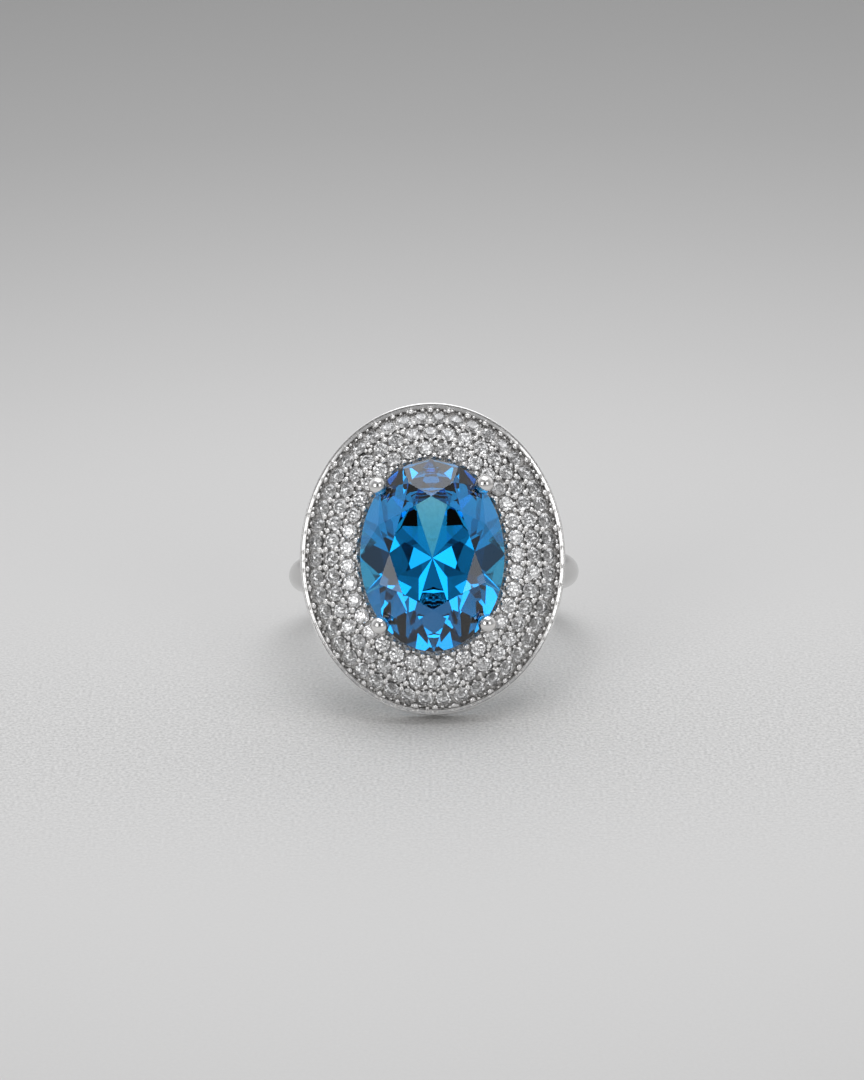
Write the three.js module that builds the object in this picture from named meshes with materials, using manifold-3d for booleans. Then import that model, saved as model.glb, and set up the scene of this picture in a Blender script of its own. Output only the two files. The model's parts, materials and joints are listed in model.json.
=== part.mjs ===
// An oval halo cocktail ring: a faceted centre stone in four ball-headed prongs, a domed halo with
// three rows of small set stones and a polished rim, and a D-section shank. All sizes are in
// millimetres.
//
// The ring is drawn in its own design frame: X runs across the finger, Y along the finger and
// along the oval's length, and Z out through the centre stone. The finger's axis is the Y axis.
// The whole ring is then leaned back onto the two places that it stands on.
import * as THREE from 'three';
import { ConvexGeometry } from 'three/addons/geometries/ConvexGeometry.js';
import { LoftGeometry } from 'three/addons/geometries/LoftGeometry.js';
import { mergeVertices } from 'three/addons/utils/BufferGeometryUtils.js';
import Module from 'manifold-3d';

// Shank
const FINGER_DIAMETER = 16.5;
const SHANK_THICKNESS = 1.3;
const SHANK_WIDTH_BASE = 1.6; // along the finger, opposite the head
const SHANK_WIDTH_TOP = 2.4; // along the finger, at the ends of the arms
const SHANK_SIDE_LAND = 0.35; // straight part of each side before the back rounds over
const ARM_TONGUE = 0.75; // how far each arm's tip reaches under the base rail

// Centre stone, an oval brilliant
const STONE_LENGTH = 12;
const STONE_WIDTH = 9;
const CROWN_HEIGHT = 1.45;
const GIRDLE_THICKNESS = 0.25;
const PAVILION_DEPTH = 4.1;
const TABLE_WIDTH = 5.3; // corner to corner across the stone's width
const STAR_WIDTH = 7.2; // across the stone's width, over the tips of the star facets
const PAVILION_STAR_WIDTH = 4.6; // across the width, where the lower girdle facets end
const CULET_CLEARANCE = 0.4; // between the stone's point and the finger

// Base rail and seat rail, the two oval wires under the centre stone
const BASE_RAIL_INSET = 1.2; // from the stone's edge in to the rail's centre line
const BASE_RAIL_WIDTH = 0.9;
const BASE_RAIL_HEIGHT = 0.8;
const BASE_RAIL_CHAMFER = 0.12;
const BASE_RAIL_LIFT = 0.1; // between the finger and the rail's flat underside
const SEAT_RAIL_DIAMETER = 0.6;

// Prongs
const PRONG_DIAMETER = 0.9;
const PRONG_BALL_DIAMETER = 1.05;
const PRONG_OUTSET = 0.2; // from the stone's edge out to the ball's centre
const PRONG_RISE = 0.35; // from the girdle's top to the ball's centre

// Halo
const HALO_LAP = 0.25; // how far the plate reaches in under the stone's edge
const HALO_MARGIN = 0.3; // plain border next to the stone
const HALO_STEP = 0.25; // from the girdle's underside down to the plate
const HALO_FALL = 1.6; // from the plain border down to the rim
const HALO_BULGE = 0.55; // share of the fall that is curved, the rest being straight
const HALO_BORDER = 0.26; // plain border between the outer row's stones and the rim
const PLATE_THICKNESS = 0.9;
const RIM_THICKNESS = 0.3;
const RIM_HEIGHT = 1.6;
const RIM_LIP = 0.2; // height of the polished edge above the plate
const RIM_EDGE = 0.1; // width of the polished edge
const RIM_LEDGE = 0.25; // width of the step that carries the plate

// Rows of small stones
const PAVE_DIAMETER = 0.86;
const PAVE_TABLE = 0.5;
const PAVE_CROWN = 0.14;
const PAVE_PAVILION = 0.38;
const PAVE_SPACING = 0.245; // between neighbouring stones of a row
const PAVE_FLAT = 0.38; // length of a stone's straight sides along its row
const PAVE_LINK = 0.16; // width of the bridge that joins neighbouring stones
const ROW_NAMES = ['inner', 'middle', 'outer'];
const ROW_START = 0.37; // from the centre stone's edge to the inner row's stones
const ROW_SPACING = 0.16; // between the stones of neighbouring rows

// Shoulders and struts that carry the halo
const SHOULDER_WIDTH = 1.5;
const SHOULDER_START = 27; // degrees from the head's centre, on the shank's back
const SHOULDER_WAIST = 43; // degrees, where its outer edge sweeps inwards the most
const SHOULDER_END = 54;
const SHOULDER_FLARE = 0.3; // from the shank's back out to the sweep's turning point
const SHOULDER_INNER = 0.5; // from the stone's edge to the shoulder's inner top corner
const SHOULDER_OUTER = 2.5; // from the stone's edge to its outer top corner
const STRUT_DIAMETER = 0.7;
const STRUT_ANGLE = 65; // degrees round the oval from its short axis
const STRUT_REACH = 1.9; // from the stone's edge to the strut's top
const PLATE_BITE = 0.18; // how far shoulders and struts run into the plate before they are cut back

// Clearances
const SOLDER_GAP = 0.02; // between metal pieces that are soldered together
const SET_GAP = 0.03; // between a stone and the metal that holds it

// Smoothness
const OVAL_STEPS = 64;
const SHANK_STEPS = 56;
const WIRE_SIDES = 10;
const SHANK_BACK_STEPS = 6;
const SWEEP_STEPS = 8;
const BALL_SIDES = 14;
const BALL_RINGS = 10;

const wasm = await Module();
wasm.setup();

// ---- Heights and radii that follow from the sizes ----

const fingerRadius = FINGER_DIAMETER / 2;
const shankRadius = fingerRadius + SHANK_THICKNESS;
const culetZ = fingerRadius + CULET_CLEARANCE;
const girdleBottomZ = culetZ + PAVILION_DEPTH;
const girdleTopZ = girdleBottomZ + GIRDLE_THICKNESS;
const tableZ = girdleTopZ + CROWN_HEIGHT;
const baseRailBottomZ = fingerRadius + BASE_RAIL_LIFT;
const baseRailTopZ = baseRailBottomZ + BASE_RAIL_HEIGHT;
const baseRailOuter = BASE_RAIL_WIDTH / 2 - BASE_RAIL_INSET;
const haloTopZ = girdleBottomZ - HALO_STEP;
const firstRow = ROW_START + PAVE_DIAMETER / 2;
const rowOffsets = ROW_NAMES.map((name, i) => firstRow + i * (PAVE_DIAMETER + ROW_SPACING));
const plateEdge = rowOffsets.at(-1) + PAVE_DIAMETER / 2 + HALO_BORDER;
const rimInner = plateEdge + SOLDER_GAP;
const rimOuter = rimInner + RIM_THICKNESS;
const rimTopZ = haloTopZ - HALO_FALL + RIM_LIP;

const gold = { color: 0xd9dadd, metalness: 1, roughness: 0.18 };
const satinGold = { color: 0xcfd0d3, metalness: 1, roughness: 0.32 };
const topaz = { color: 0x1673b8, metalness: 0, roughness: 0.04 };
const zirconia = { color: 0xf0f3f6, metalness: 0, roughness: 0.05 };

// ---- The oval and its parallel curves ----

// A point `offset` outside the stone's edge, at an angle round the oval, at height z.
function ovalPoint(angle, offset, z = 0) {
  const along = new THREE.Vector2(Math.cos(angle), Math.sin(angle));
  const half = new THREE.Vector2(STONE_WIDTH / 2, STONE_LENGTH / 2);
  const outward = along.clone().divide(half).normalize();
  const edge = along.multiply(half).addScaledVector(outward, offset);
  return new THREE.Vector3(edge.x, edge.y, z);
}

// The closed curve `offset` outside the stone's edge, with points that can be spaced evenly.
class OffsetOval extends THREE.Curve {
  constructor(offset) {
    super();
    this.offset = offset;
    this.arcLengthDivisions = 720;
  }

  getPoint(share) {
    return ovalPoint(share * 2 * Math.PI, this.offset);
  }
}

// Height of the halo's domed top, and its slope, at an offset from the stone's edge.
function haloHeight(offset) {
  const run = THREE.MathUtils.clamp((offset - HALO_MARGIN) / (plateEdge - HALO_MARGIN), 0, 1);
  return haloTopZ - HALO_FALL * run * (1 - HALO_BULGE + HALO_BULGE * run);
}

function haloSlope(offset) {
  const step = 0.01;
  return Math.atan2(haloHeight(offset + step) - haloHeight(offset - step), 2 * step);
}

// ---- Solids ----

function mergedGeometry(geometry) {
  const bare = new THREE.BufferGeometry();
  bare.setAttribute('position', geometry.getAttribute('position'));
  bare.setIndex(geometry.getIndex());
  return mergeVertices(bare, 1e-5);
}

function toSolid(geometry) {
  const merged = mergedGeometry(geometry);
  const mesh = new wasm.Mesh({
    numProp: 3,
    vertProperties: new Float32Array(merged.getAttribute('position').array),
    triVerts: new Uint32Array(merged.getIndex().array),
  });
  return new wasm.Manifold(mesh);
}

function toGeometry(solid) {
  const mesh = solid.getMesh();
  const geometry = new THREE.BufferGeometry();
  geometry.setAttribute('position', new THREE.BufferAttribute(mesh.vertProperties, 3));
  geometry.setIndex(new THREE.BufferAttribute(mesh.triVerts, 1));
  return geometry;
}

// A closed ring round the oval. The profile's points are [offset, height], counterclockwise.
function ovalRing(profile) {
  const sections = [];
  for (let i = 0; i <= OVAL_STEPS; i++) {
    const angle = ((i % OVAL_STEPS) / OVAL_STEPS) * 2 * Math.PI;
    sections.push(profile.map(([offset, z]) => ovalPoint(angle, offset, z)).reverse());
  }
  return new LoftGeometry(sections);
}

// A round rod from one point to another, with flat ends.
function rod(start, end, diameter) {
  const length = start.distanceTo(end);
  const geometry = new THREE.CylinderGeometry(diameter / 2, diameter / 2, length, WIRE_SIDES);
  const direction = end.clone().sub(start).normalize();
  const turn = new THREE.Quaternion().setFromUnitVectors(new THREE.Vector3(0, 1, 0), direction);
  geometry.applyQuaternion(turn);
  const middle = start.clone().add(end).multiplyScalar(0.5);
  return geometry.translate(middle.x, middle.y, middle.z);
}

function part(name, geometry, finish) {
  const mesh = new THREE.Mesh(geometry, new THREE.MeshStandardMaterial(finish));
  mesh.name = name;
  return mesh;
}

// ---- Centre stone ----

// Corners of a brilliant cut on a unit circle: eight table corners, eight star tips, sixteen
// girdle corners at the top and at the bottom, eight lower girdle tips and the culet. Star tips
// lie on the planes of the main facets, so every facet is flat, also once the circle is an oval.
function stoneGeometry(grow = 0) {
  const widen = 1 + (2 * grow) / STONE_WIDTH;
  const table = TABLE_WIDTH / STONE_WIDTH;
  const star = STAR_WIDTH / STONE_WIDTH;
  const pavilionStar = PAVILION_STAR_WIDTH / STONE_WIDTH;
  const half = Math.cos(Math.PI / 8);
  const starZ = girdleTopZ + (CROWN_HEIGHT * (1 - star * half)) / (1 - table);
  const pavilionStarZ = culetZ + PAVILION_DEPTH * pavilionStar * half;
  const corners = [new THREE.Vector3(0, 0, culetZ)];
  for (let i = 0; i < 16; i++) {
    const angle = (i / 16) * 2 * Math.PI;
    const isMain = i % 2 === 0;
    const upper = isMain ? [table, tableZ] : [star, starZ];
    const levels = [upper, [1, girdleTopZ], [1, girdleBottomZ]];
    if (!isMain) levels.push([pavilionStar, pavilionStarZ]);
    for (const [radius, z] of levels) {
      corners.push(new THREE.Vector3(Math.cos(angle) * radius, Math.sin(angle) * radius, z));
    }
  }
  const middleZ = (girdleTopZ + girdleBottomZ) / 2;
  for (const corner of corners) {
    corner.x *= (STONE_WIDTH / 2) * widen;
    corner.y *= (STONE_LENGTH / 2) * widen;
    corner.z = middleZ + (corner.z - middleZ) * widen;
  }
  return new ConvexGeometry(corners);
}

// ---- Wires under the stone ----

function baseRailGeometry(grow = 0) {
  const inner = baseRailOuter - BASE_RAIL_WIDTH - grow;
  const outer = baseRailOuter + grow;
  const bottom = baseRailBottomZ - grow;
  const top = baseRailTopZ + grow;
  const chamfer = BASE_RAIL_CHAMFER;
  return ovalRing([
    [inner + chamfer, bottom],
    [outer - chamfer, bottom],
    [outer, bottom + chamfer],
    [outer, top - chamfer],
    [outer - chamfer, top],
    [inner + chamfer, top],
    [inner, top - chamfer],
    [inner, bottom + chamfer],
  ]);
}

// A prong's centre line climbs outwards from the base rail to the ball over the girdle.
const prongFoot = { offset: -BASE_RAIL_INSET, z: baseRailTopZ + SOLDER_GAP };
const prongHead = { offset: PRONG_OUTSET, z: girdleTopZ + PRONG_RISE };

function prongOffsetAt(z) {
  const share = (z - prongFoot.z) / (prongHead.z - prongFoot.z);
  return THREE.MathUtils.lerp(prongFoot.offset, prongHead.offset, share);
}

const prongAngles = [1, 3, 5, 7].map((eighth) => (eighth / 8) * 2 * Math.PI);

function prongSolid(angle, grow = 0) {
  const foot = ovalPoint(angle, prongFoot.offset, prongFoot.z);
  const head = ovalPoint(angle, prongHead.offset, prongHead.z);
  const wire = toSolid(rod(foot, head, PRONG_DIAMETER + 2 * grow));
  const ball = new THREE.SphereGeometry(PRONG_BALL_DIAMETER / 2 + grow, BALL_SIDES, BALL_RINGS);
  ball.rotateX(Math.PI / 2).translate(head.x, head.y, head.z);
  // the tilted wire's foot dips under the rail's top on one side, so it is trimmed level
  const trim = 2 * PRONG_DIAMETER;
  const floor = new THREE.BoxGeometry(trim, trim, trim);
  floor.translate(foot.x, foot.y, prongFoot.z - trim / 2 - grow);
  return wire.add(toSolid(ball)).subtract(toSolid(floor));
}

function allProngs(grow) {
  return prongAngles.map((angle) => prongSolid(angle, grow)).reduce((sum, prong) => sum.add(prong));
}

// The seat rail lies along the prongs' inner sides, as high as the stone's underside lets it.
function seatRailCentre() {
  const slope = PAVILION_DEPTH / (STONE_WIDTH / 2);
  const drop = (SEAT_RAIL_DIAMETER / 2 + SET_GAP) * Math.hypot(1, slope);
  let z = girdleBottomZ;
  let offset = 0;
  for (let i = 0; i < 40; i++) {
    offset = prongOffsetAt(z) - PRONG_DIAMETER / 2;
    z = girdleBottomZ + slope * offset - drop;
  }
  return [offset, z];
}

function seatRailGeometry() {
  const [offset, z] = seatRailCentre();
  const radius = SEAT_RAIL_DIAMETER / 2;
  const profile = [];
  for (let i = 0; i < WIRE_SIDES; i++) {
    const angle = (i / WIRE_SIDES) * 2 * Math.PI;
    profile.push([offset + Math.cos(angle) * radius, z + Math.sin(angle) * radius]);
  }
  return ovalRing(profile);
}

// ---- Halo ----

// A point beside the halo's top, `across` along its slope and `up` at right angles to it.
function onSlope(offset, across, up) {
  const slope = haloSlope(offset);
  return [
    offset + across * Math.cos(slope) - up * Math.sin(slope),
    haloHeight(offset) + across * Math.sin(slope) + up * Math.cos(slope),
  ];
}

// The domed plate, with one V-shaped groove for each row of stones.
function plateGeometry(grow = 0) {
  const innerEdge = -HALO_LAP - grow;
  const outerEdge = plateEdge + grow;
  const grooveHalf = PAVE_DIAMETER / 2 + SET_GAP;
  const grooveDepth = PAVE_PAVILION + 2 * SET_GAP;
  const top = [[innerEdge, haloTopZ + grow], [HALO_MARGIN, haloTopZ + grow]];
  for (const offset of rowOffsets) {
    top.push(onSlope(offset, -grooveHalf, grow));
    top.push(onSlope(offset, 0, grow - grooveDepth));
    top.push(onSlope(offset, grooveHalf, grow));
  }
  top.push([outerEdge, haloHeight(outerEdge) + grow]);
  const underside = [outerEdge, ...rowOffsets.slice().reverse(), HALO_MARGIN, innerEdge];
  const bottom = underside.map((offset) => [offset, haloHeight(offset) - PLATE_THICKNESS - grow]);
  return ovalRing([...bottom.reverse(), ...top.reverse()]);
}

// The side wall, with the polished lip at its top and a ledge that carries the plate's edge.
function rimGeometry() {
  const plateTop = haloHeight(plateEdge);
  const ledgeZ = plateTop - PLATE_THICKNESS - SOLDER_GAP;
  const bottomZ = rimTopZ - RIM_HEIGHT;
  return ovalRing([
    [rimInner, bottomZ],
    [rimOuter, bottomZ],
    [rimOuter, rimTopZ - RIM_EDGE / 2],
    [rimOuter - RIM_EDGE / 2, rimTopZ],
    [rimOuter - RIM_EDGE * 1.5, rimTopZ],
    [rimInner, plateTop],
    [rimInner, ledgeZ],
    [rimInner - RIM_LEDGE, ledgeZ],
  ]);
}

// One row of small stones, joined end to end by a thin bridge at the girdle.
function paveRowGeometry(offset) {
  const row = new OffsetOval(offset);
  const count = Math.round(row.getLength() / (PAVE_DIAMETER + PAVE_SPACING));
  const girdle = PAVE_DIAMETER / 2;
  const flat = PAVE_FLAT / 2;
  const sections = [];
  const stoneSection = (position, width, tableHalf, rise, depth) => {
    const share = THREE.MathUtils.euclideanModulo(position / row.getLength(), 1);
    const angle = row.getUtoTmapping(share) * 2 * Math.PI;
    const outline = [[-width, 0], [-tableHalf, rise], [tableHalf, rise], [width, 0], [0, -depth]];
    return outline.map(([across, up]) => ovalPoint(angle, ...onSlope(offset, across, up)));
  };
  for (let i = 0; i < count; i++) {
    const middle = (i / count) * row.getLength();
    const link = PAVE_LINK / 2;
    sections.push(stoneSection(middle - girdle, link, link / 2, link / 2, link));
    sections.push(stoneSection(middle - flat, girdle, PAVE_TABLE / 2, PAVE_CROWN, PAVE_PAVILION));
    sections.push(stoneSection(middle + flat, girdle, PAVE_TABLE / 2, PAVE_CROWN, PAVE_PAVILION));
    sections.push(stoneSection(middle + girdle, link, link / 2, link / 2, link));
  }
  sections.push(sections[0]);
  return new LoftGeometry(sections);
}

// ---- Shank, shoulders and struts ----

// A D-shaped band round the finger, wider towards the head: flat inside, rounded outside.
function shankLoft(grow = 0) {
  const sections = [];
  const parting = THREE.MathUtils.degToRad(1); // keeps the two ends apart, under the head
  for (let i = 0; i <= SHANK_STEPS; i++) {
    const share = i / SHANK_STEPS;
    const angle = THREE.MathUtils.lerp(parting, 2 * Math.PI - parting, share);
    const fromBase = Math.abs(share - 0.5) * 2;
    const halfWidth = THREE.MathUtils.lerp(SHANK_WIDTH_BASE, SHANK_WIDTH_TOP, fromBase) / 2 + grow;
    const inner = fingerRadius - grow;
    const spring = fingerRadius + SHANK_SIDE_LAND;
    const outline = [[inner, -halfWidth], [inner, halfWidth]];
    for (let k = 0; k <= SHANK_BACK_STEPS; k++) {
      const turn = (k / SHANK_BACK_STEPS) * Math.PI;
      const reach = shankRadius + grow - spring;
      outline.push([spring + reach * Math.sin(turn), halfWidth * Math.cos(turn)]);
    }
    sections.push(outline.map(([radius, y]) => (
      new THREE.Vector3(Math.sin(angle) * radius, y, Math.cos(angle) * radius)
    )));
  }
  return new LoftGeometry(sections, { capStart: true, capEnd: true });
}

// Everything inside the base rail's outline, from its underside upwards.
function baseRailPlug() {
  const shape = new THREE.Shape();
  const points = [];
  for (let i = 0; i < OVAL_STEPS; i++) {
    const angle = (i / OVAL_STEPS) * 2 * Math.PI;
    const edge = ovalPoint(angle, baseRailOuter + SOLDER_GAP);
    points.push(new THREE.Vector2(edge.x, edge.y));
  }
  shape.setFromPoints(points);
  const plug = new THREE.ExtrudeGeometry(shape, { depth: shankRadius, bevelEnabled: false });
  return toSolid(plug.translate(0, 0, baseRailBottomZ - SOLDER_GAP));
}

function shankGeometry() {
  const armTip = STONE_WIDTH / 2 + baseRailOuter - ARM_TONGUE;
  const opening = new THREE.BoxGeometry(2 * armTip, 2 * shankRadius, 2 * shankRadius);
  opening.translate(0, 0, shankRadius);
  const band = toSolid(shankLoft()).subtract(toSolid(opening));
  return toGeometry(band.subtract(baseRailPlug()));
}

// A height inside the plate, under its grooves, where what carries it ends before it is cut back.
function insidePlate(offset) {
  return haloHeight(offset) - PLATE_THICKNESS + PLATE_BITE;
}

// A web that sweeps up from the back of one arm to the underside of the halo.
function shoulderGeometry(side) {
  const onBand = (degrees, radius) => {
    const angle = THREE.MathUtils.degToRad(degrees);
    return new THREE.Vector2(Math.sin(angle) * radius, Math.cos(angle) * radius);
  };
  const buried = shankRadius - SHANK_THICKNESS / 2;
  const inner = STONE_WIDTH / 2 + SHOULDER_INNER;
  const outer = STONE_WIDTH / 2 + SHOULDER_OUTER;
  const shape = new THREE.Shape();
  const start = onBand(SHOULDER_START, buried);
  const end = onBand(SHOULDER_END, buried);
  const waist = onBand(SHOULDER_WAIST, shankRadius + SHOULDER_FLARE);
  shape.moveTo(start.x, start.y);
  shape.lineTo(end.x, end.y);
  shape.quadraticCurveTo(waist.x, waist.y, outer, insidePlate(SHOULDER_OUTER));
  shape.lineTo(inner, insidePlate(SHOULDER_INNER));
  shape.quadraticCurveTo(inner, baseRailTopZ, start.x, start.y);
  const options = { depth: SHOULDER_WIDTH, bevelEnabled: false, curveSegments: SWEEP_STEPS };
  const web = new THREE.ExtrudeGeometry(shape, options);
  web.translate(0, 0, -SHOULDER_WIDTH / 2).rotateX(Math.PI / 2);
  if (side < 0) web.rotateZ(Math.PI);
  const halo = toSolid(plateGeometry(SOLDER_GAP));
  return toGeometry(toSolid(web).subtract(toSolid(shankLoft(SOLDER_GAP))).subtract(halo));
}

const strutAngles = [STRUT_ANGLE, 180 - STRUT_ANGLE, 180 + STRUT_ANGLE, -STRUT_ANGLE];

function strutGeometry(degrees) {
  const angle = THREE.MathUtils.degToRad(degrees);
  const railMiddleZ = (baseRailBottomZ + baseRailTopZ) / 2;
  const foot = ovalPoint(angle, -BASE_RAIL_INSET, railMiddleZ);
  const top = ovalPoint(angle, STRUT_REACH, insidePlate(STRUT_REACH));
  const wire = toSolid(rod(foot, top, STRUT_DIAMETER));
  const rail = toSolid(baseRailGeometry(SOLDER_GAP));
  return toGeometry(wire.subtract(rail).subtract(toSolid(plateGeometry(SOLDER_GAP))));
}

// ---- Assembly ----

const grownStone = toSolid(stoneGeometry(SET_GAP));
const grownProngs = allProngs(SOLDER_GAP);
const seatRail = toSolid(seatRailGeometry()).subtract(grownProngs).subtract(grownStone);
const plate = toSolid(plateGeometry()).subtract(grownProngs).subtract(grownStone);

const setting = new THREE.Group();
setting.add(part('base_rail', mergedGeometry(baseRailGeometry()), gold));
setting.add(part('seat_rail', toGeometry(seatRail), gold));
prongAngles.forEach((angle, i) => {
  setting.add(part(`prong_${i + 1}`, toGeometry(prongSolid(angle).subtract(grownStone)), gold));
});
setting.add(part('centre_stone', mergedGeometry(stoneGeometry()), topaz));

const halo = new THREE.Group();
halo.add(part('halo_plate', toGeometry(plate), satinGold));
halo.add(part('halo_rim', mergedGeometry(rimGeometry()), gold));
ROW_NAMES.forEach((name, i) => {
  halo.add(part(`pave_row_${name}`, mergedGeometry(paveRowGeometry(rowOffsets[i])), zirconia));
});

const band = new THREE.Group();
band.add(part('shank', shankGeometry(), gold));
band.add(part('shoulder_right', shoulderGeometry(1), gold));
band.add(part('shoulder_left', shoulderGeometry(-1), gold));
strutAngles.forEach((degrees, i) => {
  band.add(part(`gallery_strut_${i + 1}`, strutGeometry(degrees), gold));
});

const ring = new THREE.Group();
ring.add(setting, halo, band);

// ---- The pose it stands in ----

// Lowest height of a named piece once the ring's face leans back by `lean` from upright.
function lowest(name, lean) {
  const positions = ring.getObjectByName(name).geometry.getAttribute('position');
  let low = Infinity;
  for (let i = 0; i < positions.count; i++) {
    const height = positions.getY(i) * Math.cos(lean) + positions.getZ(i) * Math.sin(lean);
    low = Math.min(low, height);
  }
  return low;
}

// The ring leans back until the halo's rim and the back of the shank touch the same floor.
function restingLean() {
  let [low, high] = [0, Math.PI / 3];
  while (high - low > 1e-9) {
    const middle = (low + high) / 2;
    if (lowest('halo_rim', middle) < lowest('shank', middle)) low = middle;
    else high = middle;
  }
  return (low + high) / 2;
}

ring.rotation.x = Math.PI / 2 - restingLean();

// The origin is on the floor, under the middle of the ring's box.
const group = new THREE.Group();
group.add(ring);
group.updateMatrixWorld(true);
const bounds = new THREE.Box3().setFromObject(group, true);
const middle = bounds.getCenter(new THREE.Vector3());
ring.position.set(-middle.x, -middle.y, -bounds.min.z);

export default group;
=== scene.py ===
import json
import math

import bmesh
import bpy
import numpy as np
from mathutils import Matrix, Vector


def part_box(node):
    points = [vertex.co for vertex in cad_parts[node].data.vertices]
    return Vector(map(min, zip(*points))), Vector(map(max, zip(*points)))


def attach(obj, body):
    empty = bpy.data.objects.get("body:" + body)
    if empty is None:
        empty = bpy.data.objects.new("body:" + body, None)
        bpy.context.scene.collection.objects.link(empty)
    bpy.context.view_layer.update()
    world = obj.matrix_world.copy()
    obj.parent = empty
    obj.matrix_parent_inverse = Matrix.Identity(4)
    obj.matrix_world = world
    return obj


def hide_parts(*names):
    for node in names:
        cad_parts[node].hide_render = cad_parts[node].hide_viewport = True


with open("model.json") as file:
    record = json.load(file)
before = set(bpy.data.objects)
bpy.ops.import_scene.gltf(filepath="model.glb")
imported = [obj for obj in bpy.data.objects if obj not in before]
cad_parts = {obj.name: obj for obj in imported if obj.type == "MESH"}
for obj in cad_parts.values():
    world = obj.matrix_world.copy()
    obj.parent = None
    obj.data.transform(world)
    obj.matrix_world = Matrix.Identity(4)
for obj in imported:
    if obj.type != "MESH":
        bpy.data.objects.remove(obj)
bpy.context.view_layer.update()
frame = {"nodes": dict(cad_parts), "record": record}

# The pieces are drawn in millimetres in the ring's design frame, as the CAD model is: X across the
# finger, Y along the finger and the oval's length, Z out through the centre stone, with the finger's
# axis on Y. `to_world` then leans the design frame back into the pose of the CAD model, in metres.
MM = 0.001

# Sizes that the CAD model also names, in millimetres, with the stone's flats as shares of its width
FINGER_DIAMETER = 16.5
SHANK_THICKNESS = 1.3
SHANK_WIDTH_BASE = 1.6
SHANK_WIDTH_TOP = 2.4
SHANK_SIDE_LAND = 0.35
GIRDLE_THICKNESS = 0.25
CROWN_HEIGHT = 1.45
TABLE_SHARE = 5.3 / 9
STAR_SHARE = 7.2 / 9
PAVILION_STAR_SHARE = 4.6 / 9
PAVE_DIAMETER = 0.86
PAVE_SPACING = 0.245
PAVE_CROWN = 0.14
PAVE_PAVILION = 0.38
ROW_START = 0.37
ROW_SPACING = 0.16
PRONG_DIAMETER = 0.9
PRONG_BALL_DIAMETER = 1.05
PRONG_OUTSET = 0.2
PRONG_RISE = 0.35
BASE_RAIL_INSET = 1.2
BASE_RAIL_WIDTH = 0.9
BASE_RAIL_LIFT = 0.1
BASE_RAIL_HEIGHT = 0.8
SEAT_RAIL_DIAMETER = 0.6
HALO_MARGIN = 0.3
HALO_BULGE = 0.55
RIM_LIP = 0.2
PLATE_THICKNESS = 0.9
STRUT_DIAMETER = 0.7
STRUT_ANGLE = 65
STRUT_REACH = 1.9
SHOULDER_WIDTH = 1.5

# ---- The frame ----


def design_frame():
    """The matrix from the design frame in millimetres to the row frame in metres."""
    back = Vector(frame["record"]["mounts"][0]["axis"]).normalized()
    face = -back
    across = Vector((1, 0, 0))
    along = face.cross(across)
    low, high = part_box("base_rail")
    middle = (low + high) / 2
    turn = Matrix((across, along, face)).transposed()
    rail_height = FINGER_DIAMETER / 2 + BASE_RAIL_LIFT + BASE_RAIL_HEIGHT / 2
    origin = middle - face * rail_height * MM
    return Matrix.Translation(origin) @ turn.to_4x4() @ Matrix.Scale(MM, 4)


to_world = design_frame()
to_design = to_world.inverted()


def design_box(node):
    """Lowest and highest corner of a CAD node in the design frame, in millimetres."""
    corners = np.array([to_design @ v.co for v in frame["nodes"][node].data.vertices])
    return corners.min(0), corners.max(0)


stone_low, stone_high = design_box("centre_stone")
rim_low, rim_high = design_box("halo_rim")
plate_high = design_box("halo_plate")[1]
rail_low, rail_high = design_box("base_rail")
seat_low, seat_high = design_box("seat_rail")
HALF_WIDTH = stone_high[0]
HALF_LENGTH = stone_high[1]
CULET_Z = stone_low[2]
TABLE_Z = stone_high[2]
GIRDLE_TOP_Z = TABLE_Z - CROWN_HEIGHT
GIRDLE_BOTTOM_Z = GIRDLE_TOP_Z - GIRDLE_THICKNESS
RIM_OUTER = rim_high[0] - HALF_WIDTH
RIM_TOP_Z = rim_high[2]
RIM_BOTTOM_Z = rim_low[2]
PLATE_EDGE = plate_high[0] - HALF_WIDTH
PLATE_TOP_Z = plate_high[2]
RAIL_TOP_Z = rail_high[2]
RAIL_BOTTOM_Z = rail_low[2]
SEAT_RAIL_OFFSET = seat_high[0] - HALF_WIDTH - SEAT_RAIL_DIAMETER / 2
SEAT_RAIL_Z = (seat_low[2] + seat_high[2]) / 2
FINGER_RADIUS = FINGER_DIAMETER / 2
SHANK_RADIUS = FINGER_RADIUS + SHANK_THICKNESS
HALO_FALL = PLATE_TOP_Z - (RIM_TOP_Z - RIM_LIP)
ROW_NAMES = ["inner", "middle", "outer"]
ROW_OFFSETS = [ROW_START + PAVE_DIAMETER / 2 + i * (PAVE_DIAMETER + ROW_SPACING) for i in range(3)]

# ---- The oval ----

DENSE_ANGLES = np.linspace(0, 2 * math.pi, 1441)  # fine enough to measure lengths along the curve


def oval(angle, offset, z):
    """Points `offset` outside the stone's edge. The arguments may be arrays."""
    angle, offset, z = np.broadcast_arrays(angle, offset, z)
    c, s = np.cos(angle), np.sin(angle)
    nx, ny = c / HALF_WIDTH, s / HALF_LENGTH
    size = np.hypot(nx, ny)
    x = HALF_WIDTH * c + nx / size * offset
    y = HALF_LENGTH * s + ny / size * offset
    return np.stack([x, y, z], -1)


def evenly(offset, count, start=0.0):
    """`count` angles, evenly spaced by length along the curve at that offset."""
    points = oval(DENSE_ANGLES, offset, 0.0)
    length = np.concatenate([[0], np.cumsum(np.linalg.norm(np.diff(points, axis=0), axis=1))])
    wanted = (np.arange(count) + start) / count % 1 * length[-1]
    return np.interp(wanted, length, DENSE_ANGLES)


def curve_length(offset):
    """Length once round the oval at that offset."""
    points = oval(DENSE_ANGLES, offset, 0.0)
    return np.linalg.norm(np.diff(points, axis=0), axis=1).sum()


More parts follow.
